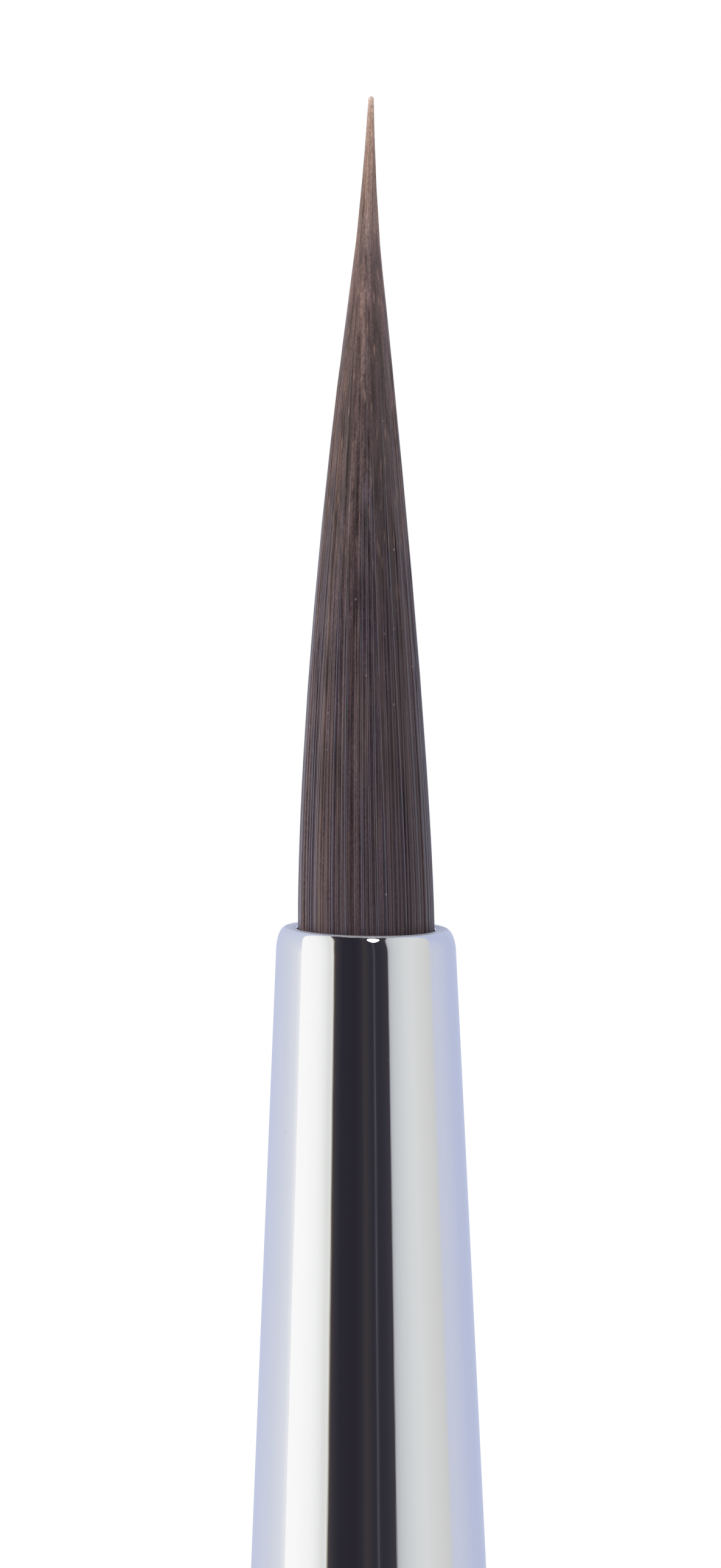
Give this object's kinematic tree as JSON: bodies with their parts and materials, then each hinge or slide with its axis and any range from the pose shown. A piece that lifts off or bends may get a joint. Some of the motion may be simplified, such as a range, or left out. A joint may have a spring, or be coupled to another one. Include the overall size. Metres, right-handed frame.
{
  "type": "fine detail brush",
  "caption": "Fine pointed detail brush: a slim round hair tuft set in a tapered metal ferrule on a turned, lacquered handle, for painting small models.",
  "frame": {"origin": "centre of the small flat on the butt end of the handle, where a brush stand or pot seats it", "axes": "+Z along the brush from the butt to the tip of the tuft; +X the side that the tip leans to, and the side that the tuft bends to at positive angles"},
  "size_m": [0.0072, 0.0072, 0.1822],
  "materials": {
    "handle_lacquer": "turned wood under gloss black lacquer",
    "ferrule_chrome": "polished bright plating",
    "hair_dark": "fine dark brown hair with paler tan tips",
    "glue_resin": "set amber resin",
    "binding_cotton": "undyed waxed thread"
  },
  "bodies": {
    "brush": {"handle": "handle_lacquer", "ferrule": "ferrule_chrome", "tenon_glue": "glue_resin", "glue_plug": "glue_resin", "binding_thread": "binding_cotton", "hair_core_root": "hair_dark"},
    "tuft": {"hair_core": "hair_dark", "hair_lock_01": "hair_dark", "hair_lock_02": "hair_dark", "hair_lock_03": "hair_dark", "hair_lock_04": "hair_dark", "hair_lock_05": "hair_dark", "hair_lock_06": "hair_dark", "hair_lock_07": "hair_dark", "hair_lock_08": "hair_dark", "hair_lock_09": "hair_dark", "hair_lock_10": "hair_dark", "hair_lock_11": "hair_dark", "hair_lock_12": "hair_dark", "hair_lock_13": "hair_dark", "hair_lock_14": "hair_dark", "hair_lock_15": "hair_dark", "hair_lock_16": "hair_dark", "hair_lock_17": "hair_dark", "hair_lock_18": "hair_dark", "hair_lock_19": "hair_dark", "hair_lock_20": "hair_dark", "hair_lock_21": "hair_dark", "hair_lock_22": "hair_dark", "hair_lock_23": "hair_dark", "hair_lock_24": "hair_dark"}
  },
  "joints": [
    {"name": "tuft_flex", "type": "hinge", "parent": "brush", "child": "tuft", "pos_m": [0, 0, 0.17332], "axis": [0, 1, 0], "range_deg": [-40, 40], "stiffness_Nm_per_rad": 0.0002, "deforming": ["hair_lock_01", "hair_lock_02", "hair_lock_03", "hair_lock_04", "hair_lock_05", "hair_lock_06", "hair_lock_07", "hair_lock_08", "hair_lock_09", "hair_lock_10", "hair_lock_11", "hair_lock_12", "hair_lock_13", "hair_lock_14", "hair_lock_15", "hair_lock_16", "hair_lock_17", "hair_lock_18", "hair_lock_19", "hair_lock_20", "hair_lock_21", "hair_lock_22", "hair_lock_23", "hair_lock_24"]}
  ]
}
